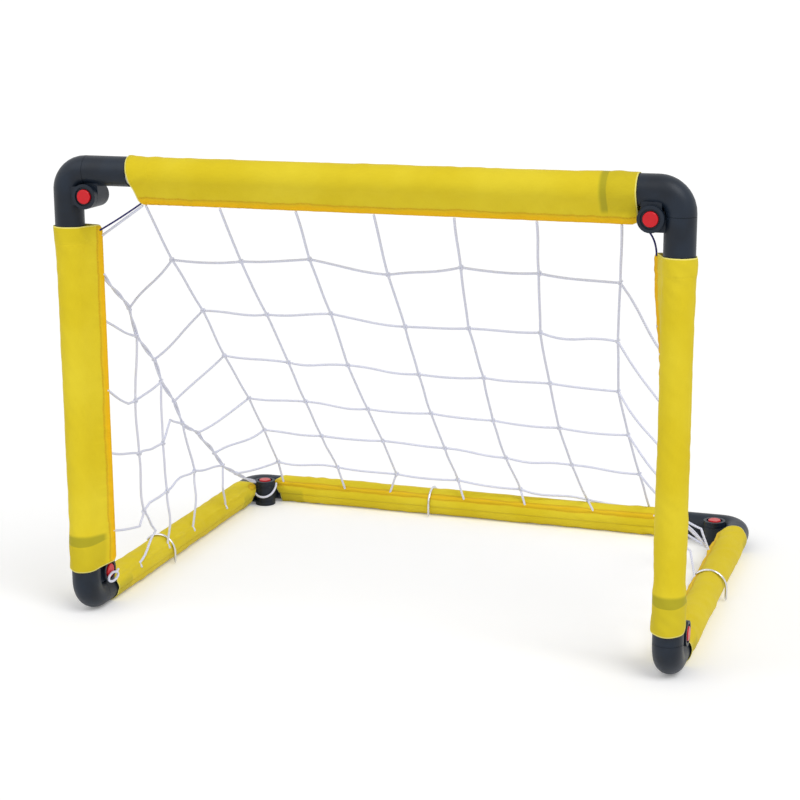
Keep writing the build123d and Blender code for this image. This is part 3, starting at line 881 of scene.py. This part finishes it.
def on_sleeve(side, depth_mm):
    """The tied end of a hanging strand, which lies on the side sleeve's inner face."""
    post = left if side > 0 else right
    turn = np.radians((36, 31, 26, 21))[:, None]
    round_bar = side * np.cos(turn) * X + np.sin(turn) * Z
    return corner_at(post, front + depth_mm * MM, low_bar) + round_bar * (tube_skin + 0.8 * MM + cord)


def side_panel(side, seed):
    """A side's net: a doubled seam rope from the post's fin to the rear corner, rows out to the
    fin, and strands that hang from the seam and lie over the side sleeve."""
    random = np.random.default_rng(seed)
    surface = Surface("cord")
    tied = [knot for knot in seam_route if side > 0 or knot[0] < right_seam_reach]
    seam = np.array([
        post_tie(side, left_seam_top if side > 0 else right_seam_top),
        *(side_point(side, *knot) for knot in tied),
        seam_end(side),
    ])
    rope = hang(seam, 0.8 * MM, random, 12)
    steps = np.concatenate(((0,), np.cumsum(np.linalg.norm(np.diff(rope, axis=0), axis=1))))
    across = unit(np.cross(X, seam[-1] - seam[0]))
    for phase in (0, pi):
        turn = steps[:, None] * (tau / rope_pitch) + phase
        strand = rope + (np.cos(turn) * X + np.sin(turn) * across) * 1.1 * MM
        add_bar(surface, strand, 1.15 * MM, 10, fold=fold_share)
    for tie, *knots in crossing_rows:
        route = np.array([post_tie(side, tie), *(side_point(side, *knot) for knot in knots)])
        add_bar(surface, hang(route, 1.2 * MM, random, 7), cord, 10, fold=fold_share)
    for knots in hanging:
        last = on_sleeve(side, knots[-1][0])
        route = np.array([*(side_point(side, *knot) for knot in knots[:-1]), last[0]])
        route = np.concatenate((hang(route, 1.0 * MM, random, 7)[:-1], last))
        add_bar(surface, route, cord, 10, fold=fold_share)
        for place in knots[1:-2]:
            add_knot(surface, side_point(side, *place), Z, Y)
    for place in tied:
        add_knot(surface, side_point(side, *place), unit(seam[-1] - seam[0]), X)
    if side > 0:
        tie = post_tie(1, left_seam_top)
        run = np.array([(left + 79 * MM, front, net_top[2]), (tie[0], tie[1], top - 66 * MM)])
        add_bar(surface, hang(run, 0.3 * MM, random), cord, 10, fold=fold_share)
    for path in corner_loops(side):
        add_bar(surface, path, cord, 10, fold=lambda centres: 0 * centres[:, 0])
    return surface


def corner_loops(side):
    """The cords that tie the left side's corners: one in a small ring on the front boss, and one
    slung round the rear boss from the side sleeve's flap to the rear sleeve's."""
    if side < 0:
        return []
    turn = np.linspace(radians(60), radians(-330), 34)[:, None]
    ring = (
        corner_at(left + 18.2 * MM, front + 23 * MM, 33 * MM)
        + np.cos(turn) * Y * 9.5 * MM + np.sin(turn) * Z * 4.2 * MM
        + X * 0.9 * MM * np.cos(turn / 2)
    )
    tail = corner_at(left + 16.5 * MM, front + 38 * MM, 36 * MM)
    tail = ring[-1] + (tail - ring[-1]) * np.linspace(0.15, 1, 7)[:, None]
    turn = np.linspace(radians(-180), radians(10), 40)[:, None]
    sling = (
        corner_at(left + 24 * MM, rear - 24 * MM, 12 * MM)
        + (np.cos(turn) * X + np.sin(turn) * Y) * 14.0 * MM
        + Z * 15 * MM * ((turn + radians(82)) / radians(95)) ** 2
    )
    return [np.concatenate((ring, tail)), sling]


def knotted(surface, node):
    """The net's panel, its doubled points merged and set in place, with its node's finish."""
    piece = surface.piece(node + "_knotted")
    mesh = bmesh.new()
    mesh.from_mesh(piece.data)
    bmesh.ops.remove_doubles(mesh, verts=mesh.verts, dist=0.002 * MM)
    mesh.to_mesh(piece.data)
    mesh.free()
    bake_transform(piece)
    share = np.zeros(len(piece.data.vertices), np.float32)
    piece.data.attributes["fold"].data.foreach_get("value", share)
    return dress(piece, node)


knotted(back_panel(), "back_net")
knotted(side_panel(1, 17), "left_net")
knotted(side_panel(-1, 19), "right_net")


# Pegs

peg_radius = 18.6 * MM  # bar axis to the middle of the wire's hook
peg_wire = 1.4 * MM  # radius of the wire
peg_lift = 1.4 * MM  # how far the hook's centre lies below the bar's axis


def ground_peg(node, place, leg_side):
    """Bent wire: a pointed leg beside the bar, and an arc over it as the hook."""
    low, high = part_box(node)
    leg = place + leg_side * peg_radius
    foot = np.linspace(low[2] + 3.2 * MM, place[2] - peg_lift, 12)[:, None]
    turn = np.linspace(0, radians(140), 40)[1:, None]
    hook = place - Z * peg_lift + (np.cos(turn) * leg_side + np.sin(turn) * Z) * peg_radius
    path = np.concatenate((leg * (1, 1, 0) + foot * Z, hook))
    surface = Surface("cord")
    add_bar(surface, path, peg_wire, 16)
    tip = surface.points[0].reshape(-1, 16, 3)
    point = leg * (1, 1, 0) + Z * (low[2] + 0.1 * MM)
    tip[0] = point
    tip[1] = point + (tip[3] - leg * (1, 1, 0) - Z * tip[3][:, 2:]) * 0.3 + Z * 1.0 * MM
    tip[2] = point + (tip[3] - leg * (1, 1, 0) - Z * tip[3][:, 2:]) * 0.75 + Z * 2.2 * MM
    piece = surface.piece(node + "_wire")
    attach(piece, node)
    return dress(piece, node)


peg_middle = {node: middle(node) for node in ("left_peg", "right_peg", "rear_peg")}
ground_peg("left_peg", corner_at(left, peg_middle["left_peg"][1], low_bar), X)
ground_peg("right_peg", corner_at(right, peg_middle["right_peg"][1], low_bar), X)
ground_peg("rear_peg", corner_at(peg_middle["rear_peg"][0], rear, low_bar), -Y)


# Laces

def lace(node, side, turn, ends, share, drop):
    """A thin cord from behind the crossbar's fin to the front of a post's fin, on one smooth spline
    through its route's ends. ends are how far along the crossbar it starts, how far down the post
    it ends, and how far inside that fin's edge. Its one middle point lies share of the way across
    and down, and drop lower."""
    post = corner_at(left if side > 0 else right, front, top)
    fin = side * cos(turn) * X + sin(turn) * Y
    face = side * sin(turn) * X - cos(turn) * Y
    start = post + side * ends[0] * MM * X + stand_off * Y - (fin_reach - 2.5 * MM) * Z
    end = post + (fin_reach - ends[2] * MM) * fin + stand_off * face - ends[1] * MM * Z
    step = np.array((share[0], share[0], share[1]))
    points = [start, start + (end - start) * step - drop * MM * Z, end]
    curve = bpy.data.curves.new(node + "_cord", "CURVE")
    curve.dimensions = "3D"
    curve.bevel_depth = lace_radius / MM
    curve.bevel_resolution = 4
    curve.resolution_u = 16
    curve.use_fill_caps = True
    spline = curve.splines.new("NURBS")
    spline.points.add(len(points) - 1)
    for knot, point in zip(spline.points, points):
        knot.co = (*point, 1)
        knot.radius = MM
    spline.order_u = 3
    spline.use_endpoint_u = True
    piece = bpy.data.objects.new(node + "_cord", curve)
    bpy.context.scene.collection.objects.link(piece)
    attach(piece, "front_frame")
    dress(piece, node)
    runs = sum(np.linalg.norm(after - point) for point, after in zip(points, points[1:]))
    length = float((2 * np.linalg.norm(end - start) + runs) / 3)


lace_radius = 0.9 * MM
stand_off = 1.9 * MM  # from the middle of a fin to the middle of the lace
lace("left_lace", 1, fin_turn, (80.0, 60.0, 2.5), (0.5, 0.5), 1.5)
lace("right_lace", -1, fin_turn + right_turn, (40.0, 60.5, 4.0), (0.97, 0.31), 0.0)
